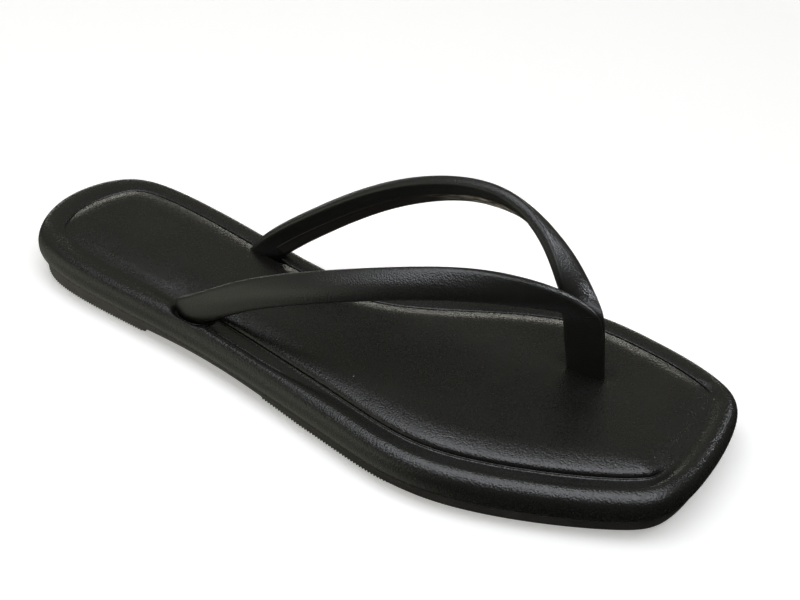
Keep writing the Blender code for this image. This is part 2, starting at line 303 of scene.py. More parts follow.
# Angle in degrees past which an edge is shaded sharp
SOLE_SHARP = 40.0
RIB_SHARP = 50.0
STRAP_SHARP = 60.0

# Coated leathers
LEATHERS = {  # dark and light tone, grain size and depth, least and most roughness, share of dusty cells
    "rim leather": ("#121210", "#181816", 0.6, 0.08, 0.21, 0.36, 0.2),
    "pad leather": ("#100f0d", "#171614", 0.6, 0.08, 0.21, 0.38, 0.34),
    "strap leather": ("#161614", "#1c1c1a", 0.55, 0.085, 0.25, 0.42, 0.2),
}
LEATHER_IOR = 1.5
GRAIN_SCATTER = 0.9
GRAIN_SHARE = 0.5               # how much of the uneven sheen follows the grain
CLOUD_SIZE = 18.0               # size of the broad patches of tone and sheen
CLOUD_DETAIL = 4.0
SPECK_PITCH = 9.0
SPECK_RADIUS = 0.28
SPECK_COLOUR = "#8d8c84"

# Lining film
FILM_PLAIN = "#201b16"
# pale streak tone is a painted highlight: the wrinkles' reflection of the pale floor
FILM_PAINTED_HIGHLIGHT = "#e2d8c6"
FILM_ROUGHNESS = 0.3
STREAK_LENGTH = 6.0
STREAK_DETAIL = 3.0
STREAK_RANGE = (0.42, 0.62)     # noise values between which the film turns from plain to its painted highlight

# Moulded rubber
# toe and heel tones are painted light: darker where the toe lies in shade, paler where light falls on the
# heel
RUBBER_SHADED_TOE = "#0f0e0c"
RUBBER_LIT_HEEL = "#504d47"
RUBBER_LIGHT_FADE = (-40.0, 90.0)     # where the painted light turns from the shaded toe to the lit heel, measured from the middle towards the heel
RUBBER_DUST = "#322f2b"
RUBBER_ROUGHNESS = 0.72
DUST_SIZE = 9.0
DUST_DETAIL = 6.0
GRIT_SIZE = 0.5
GRIT_DETAIL = 2.0
GRIT_DEPTH = 0.06
GRIT_STRENGTH = 0.6

# Photograph's camera, in metres and degrees
CAMERA_PLACE = (-0.2893, -0.1896, 0.3104)
CAMERA_AZIMUTH = -59.51
CAMERA_ELEVATION = 39.71
CAMERA_LENS = 63.18
SENSOR_WIDTH = 36.0
CLIP_START = 0.01

# Pale floor and the wall round it, in metres
FLOOR_HALF = 30.0
FLOOR_STEPS = 4
FLOOR_COLOUR = "#f2f1ef"
FLOOR_ROUGHNESS = 0.9
FLOOR_GLOW = "#fffefc"
FLOOR_GLOW_RUN = (0.3, 1.0)     # distance from the shoe over which the glow rises
FLOOR_GLOW_SHARE = (0.36, 1.0)
WALL = ((2.2, -0.02), (2.25, 0.25), (2.5, 1.0), (2.8, 4.0))  # radius, height
WALL_STEPS = 48
WALL_COLOUR = "#000000"
WALL_GLOW = "#fffffd"

# Studio lights, in metres
SOFTBOXES = (  # name, place, aim, width, depth, brightness, colour, spread in degrees
    ("overhead softbox", (-0.1, -0.1, 1.0), (-0.1, -0.1, 0.0), 0.54, 1.25, 4.2, "#f6f8ff", 180.0),
    ("side softbox", (0.43, -0.28, 0.34), (0.02, -0.03, 0.07), 0.16, 0.16, 0.3, "#f2f6ff", 14.0),
    ("left fill", (-0.62, 0.66, 0.30), (0.0, 0.05, 0.02), 0.9, 0.6, 0.8, "#f4f4e2", 180.0),
    ("left backdrop", (0.74, 0.95, 0.05), (0.0, 0.0, 0.02), 0.5, 0.09, 5.5, "#fffdf0", 180.0),
    ("pale backdrop", (1.13, 0.36, 0.05), (0.0, 0.0, 0.01), 0.62, 0.075, 7.5, "#fffdf0", 180.0),
)

# Pale room seen in the leather's sheen
ROOM_COLOUR = "#fbfdea"
ROOM_SHADES = (  # upward part of the direction, brightness
    (-1.0, 0.02),
    (-0.75, 0.015),
    (-0.4, 0.03),
    (0.0, 0.09),
    (0.25, 0.17),
    (0.5, 0.26),
    (0.72, 0.27),
    (1.0, 0.14),
)
# Room's dark near side, behind the camera
FAR_WAY = (0.86, 0.5, 0.0)
FAR_SPREAD = (-0.35, 0.45)
FAR_SHARE = (0.3, 1.0)
# Lit floor behind and left of the heel, as the leather mirrors it
GLOW_WAY = (-0.45, 0.75, -0.48)
GLOW_SPREAD = (0.64, 0.97)
GLOW_SHARE = (0.0, 1.0)
GLOW_COLOUR = "#b4b4a6"


def smooth_curve(rows, pacing, closed):
    """Function of 0..1 running smoothly through the rows, paced by the distance in their first columns."""
    nodes = np.array(rows, dtype=float)
    if closed:
        nodes = np.vstack([nodes, nodes[:1]])
    gaps = np.sqrt(np.linalg.norm(np.diff(nodes[:, :pacing], axis=0), axis=1))
    knots = np.concatenate([[0.0], np.cumsum(gaps)])
    slopes = np.diff(nodes, axis=0) / gaps[:, None]
    last = len(nodes) - 1
    system = np.zeros((last + 1, last + 1))
    load = np.zeros_like(nodes)
    for i in range(1, last):
        system[i, i - 1:i + 2] = gaps[i - 1], 2.0 * (gaps[i - 1] + gaps[i]), gaps[i]
        load[i] = 6.0 * (slopes[i] - slopes[i - 1])
    if closed:
        system[0, 0], system[0, last] = 1.0, -1.0
        system[last, 0], system[last, 1] = 2.0 * gaps[0], gaps[0]
        system[last, last - 1], system[last, last] = gaps[-1], 2.0 * gaps[-1]
        load[last] = 6.0 * (slopes[0] - slopes[-1])
    else:
        system[0, 0] = system[last, last] = 1.0
    bends = np.linalg.solve(system, load)

    def at(fraction):
        reach = np.asarray(fraction) * knots[-1]
        i = np.clip(np.searchsorted(knots, reach, side="right") - 1, 0, last - 1)
        step = gaps[i][:, None]
        before = (knots[i + 1] - reach)[:, None] / step
        after = 1.0 - before
        bend = (before ** 3 - before) * bends[i] + (after ** 3 - after) * bends[i + 1]
        return before * nodes[i] + after * nodes[i + 1] + bend * step ** 2 / 6.0

    at.knots = knots / knots[-1]
    return at


def sample_outline():
    """Outline points and outward normals, as many on the outer side as on the inner one."""
    at = smooth_curve([row[1:] for row in OUTLINE], 2, True)
    fine = np.linspace(0.0, 1.0, OUTLINE_SAMPLES)
    line = at(fine)
    step = np.diff(line, axis=0)
    run = np.linalg.norm(step, axis=1)
    heading = np.unwrap(np.arctan2(step[:, 1], step[:, 0]))
    turn = np.abs(np.diff(heading, append=heading[:1] + math.tau * np.sign(heading[-1] - heading[0])))
    weight = np.concatenate([[0.0], np.cumsum(run + BEND_CROWDING * turn)])
    middle = np.interp(at.knots[TOE_MIDDLE], fine, weight)
    marks = np.concatenate([
        np.linspace(0.0, middle, SIDE_STEPS + 1)[:-1],
        np.linspace(middle, weight[-1], SIDE_STEPS + 1)[:-1],
    ])
    fractions = np.interp(marks, weight, fine)
    points = at(fractions)
    nudge = 0.5 / len(fine)
    along = at((fractions + nudge) % 1.0) - at((fractions - nudge) % 1.0)
    along /= np.linalg.norm(along, axis=1)[:, None]
    outward = np.column_stack([along[:, 1], -along[:, 0]])
    return points, outward


OUTLINE_POINTS, OUTWARD = sample_outline()
AROUND = len(OUTLINE_POINTS)
STATIONS = OUTLINE_POINTS[:, 0]
IS_OUTER = np.arange(AROUND) <= SIDE_STEPS
MIDDLE = (OUTLINE_POINTS.min(axis=0) + OUTLINE_POINTS.max(axis=0)) / 2.0


def place(spots):
    """World places in metres of rows of station, offset and height."""
    spots = np.asarray(spots, dtype=float)
    return np.stack([spots[..., 1] - MIDDLE[1], MIDDLE[0] - spots[..., 0], spots[..., 2]], axis=-1) * MM


def sole_lift(station):
    """Height of the outsole's plain underside above the floor."""
    heel = np.clip((SHANK_END - station) / SHANK_END, 0.0, None) ** RISE_POWER
    toe = np.clip((station - SPRING_START) / (LENGTH - SPRING_START), 0.0, None) ** 2
    return TREAD_STEP + HEEL_RISE * heel + TOE_SPRING * toe


def tread_height(station):
    """Height of the outsole's face with its heel block, hollow shank and forefoot tread."""
    off_heel = np.clip((station - BREAST) / BREAST_RUN, 0.0, 1.0)
    on_tread = np.clip((station - TREAD_START) / TREAD_RUN, 0.0, 1.0)
    along_shank = np.clip((station - BREAST) / (TREAD_FLAT - BREAST), 0.0, 1.0)
    hollow = SHANK_ARCH * np.sin(math.pi * along_shank)
    return off_heel * (sole_lift(station) + hollow - on_tread * TREAD_STEP)


def ramp(value, start, end):
    """Smooth rise from 0 at the start to 1 at the end."""
    share = np.clip((np.asarray(value) - start) / (end - start), 0.0, 1.0)
    return share * share * (3.0 - 2.0 * share)


def slot_weights():
    """How far each outline point lies into each side slot, 1 at its middle."""
    weights = []
    for middle, half, outer, *_ in SLOTS:
        share = np.clip(np.abs(STATIONS - middle) / half, 0.0, 1.0)
        weights.append(np.where(IS_OUTER == outer, 1.0 - share ** 3, 0.0))
    return weights


def far_weights():
    """1 along the inner side and the back of the heel, where rim and pad are lower and tighter."""
    outer = 1.0 - ramp(STATIONS, *HEEL_TURN)
    inner = 1.0 - ramp(STATIONS, *INNER_TOE_TURN)
    return np.where(IS_OUTER, outer, inner)


def toe_weights():
    """1 along the toe front, from the end of the outer crease to the inner corner."""
    outer = ramp(OUTLINE_POINTS[:, 1], *OUTER_CREASE_END) * (STATIONS > FOREFOOT)
    inner = ramp(STATIONS, *INNER_CREASE_END)
    return np.where(IS_OUTER, outer, inner)


def gentle_weights():
    """1 along the toe front and the outer side of the heel, where the roll is soft."""
    heel = ramp(STATIONS, *HEEL_TURN) * (1.0 - ramp(STATIONS, *SLOT_APPROACH))
    return np.where(IS_OUTER, heel, 0.0) + toe_weights()


def crease_weights():
    """1 where the crease beside the pad is open, 0 where pad and rim run into each other."""
    sides = np.where(IS_OUTER, ramp(STATIONS, *CREASE_START), 1.0) * (1.0 - toe_weights())
    heel = np.where(IS_OUTER, 1.0 - ramp(STATIONS, *HEEL_CREASE_END), 0.0)
    return np.maximum(sides, heel)


def narrowed(insets):
    """Insets of lines on the rim or pad, less where the rim is narrow."""
    loss = np.zeros(AROUND)
    for way, most, sharpness in NARROWINGS:
        toward = OUTWARD @ np.array(way)
        loss += most * ((toward + np.hypot(toward, NARROW_EASE)) / 2.0) ** sharpness
    return insets - loss * np.minimum(1.0, insets / RIM_WIDTH) ** 2


def rings_at(insets, heights, base):
    """Rings of places from insets and heights given per ring and outline point."""
    plan = OUTLINE_POINTS[None] - OUTWARD[None] * insets[..., None]
    return np.concatenate([plan, (base(plan[..., 0]) + heights)[..., None]], axis=2)


def rim_middle(station):
    return sole_lift(station) + RIM_CENTRE


def blended(table, changes):
    """Insets and heights of a table's rows, moved towards other tables by a weight per outline point."""
    first = np.array(table)[..., None]
    rows = first + sum((np.array(other)[..., None] - first) * weight for other, weight in changes)
    return rows[:, 0], rows[:, 1]


def smooth_profile(insets, heights, steps):
    """Profile rows made smooth and close, with the same pace all round."""
    rows = np.concatenate([insets[:, :1], heights[:, :1], insets, heights], axis=1)
    fine = smooth_curve(rows, 2, False)(np.linspace(0.0, 1.0, steps))[:, 2:]
    return fine[:, :AROUND], fine[:, AROUND:]


def ring_faces(rings, around):
    """Quads between closed rings of equal length."""
    faces = []
    for r in range(rings - 1):
        for k in range(around):
            follow = (k + 1) % around
            near, far = r * around, (r + 1) * around
            faces.append((near + k, near + follow, far + follow, far + k))
    return faces


def crowned(spots, edge):
    """Heights of the pad's top, which rises from its edge to one even level."""
    some = slice(0, None, CROWN_EDGE_STEP)
    rim, outward = edge[some], OUTWARD[some]
    plan = spots[:, :, :2]
    crease, far = crease_weights()[some], far_weights()[some]
    round_run, tight_run, soft_run = CROWN_RUN
    runs = soft_run + (round_run - soft_run) * crease * (1.0 - far)
    runs += (tight_run - soft_run) * crease * far
    pull = 1.0 / (((plan[:, :, None] - rim[:, :2]) ** 2).sum(axis=3) + EDGE_SOFTENING) ** 2
    pull /= pull.sum(axis=2, keepdims=True)
    start, run = pull @ rim[:, 2], pull @ runs
    share = np.zeros(plan.shape[:2])
    for angle in np.arange(CORNER_PROBES) * math.tau / CORNER_PROBES:
        probe = plan + CORNER_RADIUS * np.array([math.cos(angle), math.sin(angle)])
        nearest = ((probe[:, :, None] - rim[:, :2]) ** 2).sum(axis=3).argmin(axis=2)
        gap = -((probe - rim[nearest, :2]) * outward[nearest]).sum(axis=2)
        share += (1.0 - (1.0 - np.minimum(1.0, gap / run)) ** 2) / CORNER_PROBES
    heel, fore = PAD_TOP
    level = rim_middle(plan[:, :, 0]) + heel + (fore - heel) * ramp(plan[:, :, 0], *LEVEL_CHANGE)
    return start + (level - start) * share


def fill_across(points, faces, ring, with_crown):
    """Close a ring of point numbers with cross rows, level or crowned inside its edge."""
    edge = np.array([points[i] for i in ring])
    half = len(ring) // 2
    share = np.linspace(0.0, 1.0, FILL_COLUMNS + 1)[None, :, None]
    outer, inner = edge[1:half, None], edge[:half:-1, None]
    spots = outer + (inner - outer) * share
    if with_crown:
        spots[:, :, 2] = crowned(spots, edge)
    rows = [[ring[0]]]
    for k in range(1, half):
        first = len(points)
        points.extend(spots[k - 1, 1:-1])
        rows.append([ring[k], *range(first, len(points)), ring[len(ring) - k]])
    rows.append([ring[half]])
    for near, far in zip(rows, rows[1:]):
        if len(near) == 1:
            faces.extend((near[0], a, b) for a, b in zip(far, far[1:]))
        elif len(far) == 1:
            faces.extend((a, b, far[0]) for a, b in zip(near, near[1:]))
        else:
            for j in range(FILL_COLUMNS):
                faces.append((near[j], near[j + 1], far[j + 1], far[j]))


def body_from_rings(rings, with_crown):
    """Points and faces of a closed body, filled level below, and level or crowned on top."""
    count = len(rings)
    points = [spot.copy() for spot in rings.reshape(-1, 3)]
    faces = ring_faces(count, AROUND)
    fill_across(points, faces, list(range(AROUND)), False)
    fill_across(points, faces, list(range((count - 1) * AROUND, count * AROUND)), with_crown)
    return np.array(points), faces


def mesh_from(name, places, faces):
    """Mesh in metres with its faces turned outwards and shaded smooth."""
    mesh = bpy.data.meshes.new(name)
    mesh.from_pydata(np.asarray(places).tolist(), [], faces)
    bm = bmesh.new()
    bm.from_mesh(mesh)
    bmesh.ops.recalc_face_normals(bm, faces=bm.faces)
    bm.to_mesh(mesh)
    bm.free()
    mesh.shade_smooth()
    return mesh


def add_object(name, mesh, material):
    item = bpy.data.objects.new(name, mesh)
    bpy.context.scene.collection.objects.link(item)
    mesh.materials.clear()
    mesh.materials.append(material)
    return item


def bake_modifiers(item):
    """Replace an object's mesh by its modified shape, with no modifier left."""
    graph = bpy.context.evaluated_depsgraph_get()
    mesh = bpy.data.meshes.new_from_object(item.evaluated_get(graph))
    item.modifiers.clear()
    item.data = mesh
    return item


def hand_made(spots):
    """Soft waviness in millimetres at rows of places, the same for pad and rim."""
    plan = [Vector((spot[0], spot[1], 0.0)) for spot in spots]
    return np.array([sum(height * noise.noise(spot / length) for height, length in WAVES) for spot in plan])


def to_linear(hex_colour):
    """Linear colour of an sRGB hex value."""
    channels = [int(hex_colour[i:i + 2], 16) / 255.0 for i in (1, 3, 5)]
    linear = [c / 12.92 if c <= 0.04045 else ((c + 0.055) / 1.055) ** 2.4 for c in channels]
    return (*linear, 1.0)


def add_node(tree, kind, settings=None, values=None, links=None):
    """Node with its settings, socket values and links from other nodes' sockets."""
    node = tree.nodes.new(kind)
    for key, value in (settings or {}).items():
        setattr(node, key, value)
    for key, value in (values or {}).items():
        node.inputs[key].default_value = value
    for key, source in (links or {}).items():
        tree.links.new(source, node.inputs[key])
    return node


def new_material(name):
    """Material with its node tree and shader."""
    material = bpy.data.materials.new(name)
    material.use_nodes = True
    return material, material.node_tree, material.node_tree.nodes["Principled BSDF"]


def make_leather(name):
    """Black coated leather: pebble grain that breaks up the highlights, uneven sheen, a few pale specks."""
    dark, light, grain, relief, rough_low, rough_high, dusty = LEATHERS[name]
    material, tree, shader = new_material(name)
    shader.inputs["IOR"].default_value = LEATHER_IOR
    where = add_node(tree, "ShaderNodeTexCoord").outputs["Object"]
    pebble = add_node(tree, "ShaderNodeTexVoronoi", {"feature": "F1"},
                      {"Scale": 1.0 / (grain * MM), "Randomness": GRAIN_SCATTER}, {"Vector": where})
    cloud = add_node(tree, "ShaderNodeTexNoise", None,
                     {"Scale": 1.0 / (CLOUD_SIZE * MM), "Detail": CLOUD_DETAIL}, {"Vector": where})
    bump = add_node(tree, "ShaderNodeBump", {"invert": True}, {"Strength": 1.0, "Distance": relief * MM},
                    {"Height": pebble.outputs["Distance"]})
    tone = add_node(tree, "ShaderNodeMix", {"data_type": "RGBA"},
                    {"A": to_linear(dark), "B": to_linear(light)}, {"Factor": cloud.outputs["Fac"]})
    patchy = add_node(tree, "ShaderNodeMix", {"data_type": "FLOAT"}, {"Factor": GRAIN_SHARE},
                      {"A": cloud.outputs["Fac"], "B": pebble.outputs["Color"]})
    sheen = add_node(tree, "ShaderNodeMapRange", None, {"To Min": rough_low, "To Max": rough_high},
                     {"Value": patchy.outputs["Result"]})
    speck = add_node(tree, "ShaderNodeTexVoronoi", {"feature": "F1"},
                     {"Scale": 1.0 / (SPECK_PITCH * MM)}, {"Vector": where})
    near = add_node(tree, "ShaderNodeMath", {"operation": "LESS_THAN"}, {1: SPECK_RADIUS / SPECK_PITCH},
                    {0: speck.outputs["Distance"]})
    picked = add_node(tree, "ShaderNodeMath", {"operation": "LESS_THAN"}, {1: dusty},
                      {0: speck.outputs["Color"]})
    pale = add_node(tree, "ShaderNodeMath", {"operation": "MULTIPLY"}, None,
                    {0: near.outputs["Value"], 1: picked.outputs["Value"]})
    tone = add_node(tree, "ShaderNodeMix", {"data_type": "RGBA"}, {"B": to_linear(SPECK_COLOUR)},
                    {"Factor": pale.outputs["Value"], "A": tone.outputs["Result"]})
    tree.links.new(tone.outputs["Result"], shader.inputs["Base Color"])
    tree.links.new(sheen.outputs["Result"], shader.inputs["Roughness"])
    tree.links.new(bump.outputs["Normal"], shader.inputs["Normal"])
    return material


def make_film():
    """Lining film: smooth dark brown plastic, with painted highlights as pale streaks along the wrinkles
    under the arch.
    """
    material, tree, shader = new_material("lining film")
    strip = add_node(tree, "ShaderNodeAttribute", {"attribute_name": "strip"}).outputs["Vector"]
    drawn = add_node(tree, "ShaderNodeVectorMath", {"operation": "MULTIPLY"},
                     {1: (1.0 / STREAK_LENGTH, WRINKLE_CLOSENESS, 0.0)}, {0: strip})
    streaks = add_node(tree, "ShaderNodeTexNoise", None, {"Scale": 1.0, "Detail": STREAK_DETAIL},
                       {"Vector": drawn.outputs["Vector"]})
    pale = add_node(tree, "ShaderNodeMapRange", None,
                    {"From Min": STREAK_RANGE[0], "From Max": STREAK_RANGE[1]},
                    {"Value": streaks.outputs["Fac"]})
    tight = add_node(tree, "ShaderNodeSeparateXYZ", None, None, {"Vector": strip})
    # painted highlight: pale streaks where the wrinkled film would mirror the floor
    painted_highlight = add_node(tree, "ShaderNodeMath", {"operation": "MULTIPLY"}, None,
                    {0: pale.outputs["Result"], 1: tight.outputs["Z"]})
    tone = add_node(tree, "ShaderNodeMix", {"data_type": "RGBA"},
                    {"A": to_linear(FILM_PLAIN), "B": to_linear(FILM_PAINTED_HIGHLIGHT)},
                    {"Factor": painted_highlight.outputs["Value"]})
    tree.links.new(tone.outputs["Result"], shader.inputs["Base Color"])
    shader.inputs["Roughness"].default_value = FILM_ROUGHNESS
    return material


def make_rubber():
    """Moulded rubber: matte, with painted light at the heel and painted shade at the toe, a fine mould
    texture and dusty patches.
    """
    material, tree, shader = new_material("moulded rubber")
    where = add_node(tree, "ShaderNodeTexCoord").outputs["Object"]
    dust = add_node(tree, "ShaderNodeTexNoise", None,
                    {"Scale": 1.0 / (DUST_SIZE * MM), "Detail": DUST_DETAIL}, {"Vector": where})
    grit = add_node(tree, "ShaderNodeTexNoise", None,
                    {"Scale": 1.0 / (GRIT_SIZE * MM), "Detail": GRIT_DETAIL}, {"Vector": where})
    along = add_node(tree, "ShaderNodeSeparateXYZ", None, None, {"Vector": where})
    # painted light: the heel end is paler and the toe end darker, as light falls on the sole
    heel = add_node(tree, "ShaderNodeMapRange", None,
                    {"From Min": RUBBER_LIGHT_FADE[0] * MM, "From Max": RUBBER_LIGHT_FADE[1] * MM},
                    {"Value": along.outputs["Y"]})
    painted_light_tone = add_node(tree, "ShaderNodeMix", {"data_type": "RGBA"},
                     {"A": to_linear(RUBBER_SHADED_TOE), "B": to_linear(RUBBER_LIT_HEEL)},
                     {"Factor": heel.outputs["Result"]})
    tone = add_node(tree, "ShaderNodeMix", {"data_type": "RGBA"}, {"B": to_linear(RUBBER_DUST)},
                    {"A": painted_light_tone.outputs["Result"], "Factor": dust.outputs["Fac"]})
    bump = add_node(tree, "ShaderNodeBump", None, {"Strength": GRIT_STRENGTH, "Distance": GRIT_DEPTH * MM},
                    {"Height": grit.outputs["Fac"]})
    tree.links.new(tone.outputs["Result"], shader.inputs["Base Color"])
    tree.links.new(bump.outputs["Normal"], shader.inputs["Normal"])
    shader.inputs["Roughness"].default_value = RUBBER_ROUGHNESS
    return material


def make_outsole(rubber):
    """Moulded sole with its heel block and hollow shank, its faces raised to take the tread ribs."""
    table = np.array(OUTSOLE_SIDE)
    flare = HEEL_FLARE * np.clip(-OUTWARD[:, 0], 0.0, None)
    insets = table[:, None, 0] - flare[None]
    heights = np.repeat(table[:, None, 1], AROUND, axis=1)
    points, faces = body_from_rings(rings_at(insets, heights, sole_lift), False)
    bm = bmesh.new()
    verts = [bm.verts.new(spot) for spot in place(points)]
    for face in faces:
        bm.faces.new([verts[i] for i in face])
    for station in (BREAST, BREAST + BREAST_RUN, TREAD_START, TREAD_START + TREAD_RUN):
        bmesh.ops.bisect_plane(bm, geom=bm.verts[:] + bm.edges[:] + bm.faces[:], dist=CUT_TOLERANCE,
                               plane_co=(0.0, MM * (MIDDLE[0] - station), 0.0), plane_no=(0.0, 1.0, 0.0))
    for vert in bm.verts:
        station = MIDDLE[0] - vert.co.y / MM
        above = vert.co.z / MM - sole_lift(station)
        if above < TREAD_BAND:
            ribbed = 1.0 - ramp(station, BREAST, BREAST + BREAST_RUN)
            ribbed += ramp(station, TREAD_START, TREAD_START + TREAD_RUN)
            vert.co.z = MM * (tread_height(round(station, 3)) + RIB_RADIUS * ribbed + above)
    bmesh.ops.recalc_face_normals(bm, faces=bm.faces)
    mesh = bpy.data.meshes.new("outsole_moulding")
    bm.to_mesh(mesh)
    bm.free()
    mesh.shade_smooth()
    mesh.set_sharp_from_angle(angle=math.radians(SOLE_SHARP))
    return add_object("outsole_moulding", mesh, rubber)


def rib_tree(rubber):
    """Geometry nodes that lay a round rib across the sole at each seat, as long as the seat says."""
    tree = bpy.data.node_groups.new("tread ribs", "GeometryNodeTree")
    tree.interface.new_socket("Seats", in_out="INPUT", socket_type="NodeSocketGeometry")
    radius = tree.interface.new_socket("Rib radius", in_out="INPUT", socket_type="NodeSocketFloat")
    tree.interface.new_socket("Ribs", in_out="OUTPUT", socket_type="NodeSocketGeometry")
    given = add_node(tree, "NodeGroupInput")
    bar = add_node(tree, "GeometryNodeMeshCylinder", None, {"Vertices": RIB_SIDES, "Depth": 1.0},
                   {"Radius": given.outputs["Rib radius"]})
    across = add_node(tree, "GeometryNodeTransform", None, {"Rotation": (0.0, math.pi / 2.0, 0.0)},
                      {"Geometry": bar.outputs["Mesh"]})
    length = add_node(tree, "GeometryNodeInputNamedAttribute", {"data_type": "FLOAT"},
                      {"Name": "rib_length"})
    scale = add_node(tree, "ShaderNodeCombineXYZ", None, {"Y": 1.0, "Z": 1.0},
                     {"X": length.outputs["Attribute"]})
    ribs = add_node(tree, "GeometryNodeInstanceOnPoints", None, None,
                    {"Points": given.outputs["Seats"], "Instance": across.outputs["Geometry"],
                     "Scale": scale.outputs["Vector"]})
    real = add_node(tree, "GeometryNodeRealizeInstances", None, None,
                    {"Geometry": ribs.outputs["Instances"]})
    coloured = add_node(tree, "GeometryNodeSetMaterial", None, {"Material": rubber},
                        {"Geometry": real.outputs["Geometry"]})
    add_node(tree, "NodeGroupOutput", None, None, {"Ribs": coloured.outputs["Geometry"]})
    return tree, radius.identifier


def make_ribs(rubber):
    """Fine cross ribs of the tread, cut off at the sole's edge."""
    flare = HEEL_FLARE * np.clip(-OUTWARD[:, 0], 0.0, None)
    inset = RIB_INSET + RIB_DRAW_IN * ramp(STATIONS, *RIB_DRAW_RUN) - flare
    edge = OUTLINE_POINTS - OUTWARD * inset[:, None]
    outer, inner = edge[:SIDE_STEPS + 1], edge[SIDE_STEPS:][::-1]
    seats, lengths = [], []
    for first, last in RIB_FIELDS:
        for station in np.arange(first, last, RIB_PITCH):
            left = np.interp(station, outer[:, 0], outer[:, 1])
            right = np.interp(station, inner[:, 0], inner[:, 1])
            seats.append((station, (left + right) / 2.0, tread_height(station) + RIB_RADIUS))
            lengths.append(MM * (right - left))
    mesh = bpy.data.meshes.new("tread_ribs")
    mesh.from_pydata(place(seats).tolist(), [], [])
    attribute = mesh.attributes.new("rib_length", "FLOAT", "POINT")
    attribute.data.foreach_set("value", lengths)
    item = add_object("tread_ribs", mesh, rubber)
    tree, radius = rib_tree(rubber)
    modifier = item.modifiers.new("tread ribs", "NODES")
    modifier.node_group = tree
    modifier[radius] = MM * RIB_RADIUS
    bake_modifiers(item)
    item.data.shade_smooth()
    item.data.set_sharp_from_angle(angle=math.radians(RIB_SHARP))
    return item


def rim_rows():
    """Insets and heights of the rim's rows at each outline point."""
    drawn = ramp(STATIONS, *DRAWN_START) * (1.0 - ramp(STATIONS, *DRAWN_END))
    under = RIM_SECTION[:CREST_ROW]
    insets, heights = blended(RIM_SECTION, (
        (under + DRAWN_ROWS, np.where(IS_OUTER, drawn, 0.0)),
        (under + FLAT_ROWS, far_weights()),
        (under + GENTLE_ROWS, gentle_weights()),
    ))
    for row, bead in enumerate(BEAD, LIP_ROW):
        heights[row] += bead * crease_weights() * (1.0 - far_weights())
    return insets, heights


def make_rim(leather):
    """Wrapped and padded rim with its roll, lip and side slots."""
    insets, heights = rim_rows()
    for slot, (_, _, _, wall_inset, push, drop, _) in zip(slot_weights(), SLOTS):
        crest, lip = insets[CREST_ROW].copy(), insets[LIP_ROW].copy()
        pushed = crest - push * slot
        wall = lip + (wall_inset - lip) * slot
        for row in range(CREST_ROW, LIP_ROW + 1):
            insets[row] = pushed + (insets[row] - crest) * (wall - pushed) / (lip - crest)
            heights[row] -= drop * slot
        insets[LIP_ROW + 1:] += wall - lip
    insets, heights = smooth_profile(insets, heights, PROFILE_STEPS)
    insets = np.vstack([insets, insets[-1:]])
    heights = np.vstack([heights, np.full((1, AROUND), RECESS_FLOOR)])
    rings = rings_at(narrowed(insets), heights, rim_middle)
    points, faces = body_from_rings(rings, False)
    shown = len(rings[0]) * (len(rings) - 1)
    points[:shown, 2] += hand_made(points[:shown])
    return add_object("rim_wrap", mesh_from("rim_wrap", place(points), faces), leather)


def from_post(points):
    """Distance in plan from the toe post's foot."""
    back, front = np.array(POST_FOOT)
    run = front - back
    along = np.clip(((points[:, :2] - back) @ run) / (run @ run), 0.0, 1.0)
    return np.linalg.norm(points[:, :2] - back - along[:, None] * run, axis=1)


def make_pad(leather):
    """Foam footbed under leather: crowned, with a round edge that drops into the crease."""
    crease, far = crease_weights(), far_weights()
    insets, heights = blended(SOFT_EDGE, ((ROUND_EDGE, crease * (1.0 - far)), (TIGHT_EDGE, crease * far)))
    heights = heights + HEEL_FILL * gentle_weights() * (1.0 - crease)
    for slot, row in zip(slot_weights(), SLOTS):
        insets = insets + row[-1] * slot
    insets, heights = smooth_profile(insets, heights, PAD_STEPS)
    points, faces = body_from_rings(rings_at(narrowed(insets), heights, rim_middle), True)
    points[:, 2] += hand_made(points)
    points[:, 2] -= POST_DENT * np.exp(-(from_post(points) / POST_DENT_RUN) ** 2)
    return add_object("pad", mesh_from("pad", place(points), faces), leather)


def strap_section():
    """Points of the straps' section: crisp upper edge, soft ridge along the face, flat back."""
    marks = (np.arange(SECTION_POINTS) + 0.5) / SECTION_POINTS
    return smooth_curve(STRAP_SECTION, 2, True)(marks).T


def strap_frames(table, side, fractions):
    """Centre, width direction, face direction, width and thickness along a strap, in world axes and mm."""
    curve = smooth_curve([row[1:] for row in table], 6, False)
    rows = curve(fractions)
    upper, lower = place(rows[:, 0:3]) / MM, place(rows[:, 3:6]) / MM
    centre = (upper + lower) / 2.0
    width = np.linalg.norm(upper - lower, axis=1)
    wide = (upper - lower) / width[:, None]
    face = side * np.cross(wide, np.gradient(centre, axis=0))
    face /= np.linalg.norm(face, axis=1)[:, None]
    thick = rows[:, 6]
    for knot, row in zip(curve.knots, table):
        if row[0] == "fold":
            thick = thick * (1.0 - FOLD_STEP * ramp(fractions, knot + FOLD_RUN[0], knot + FOLD_RUN[1]))
    return centre, wide, face, width, thick


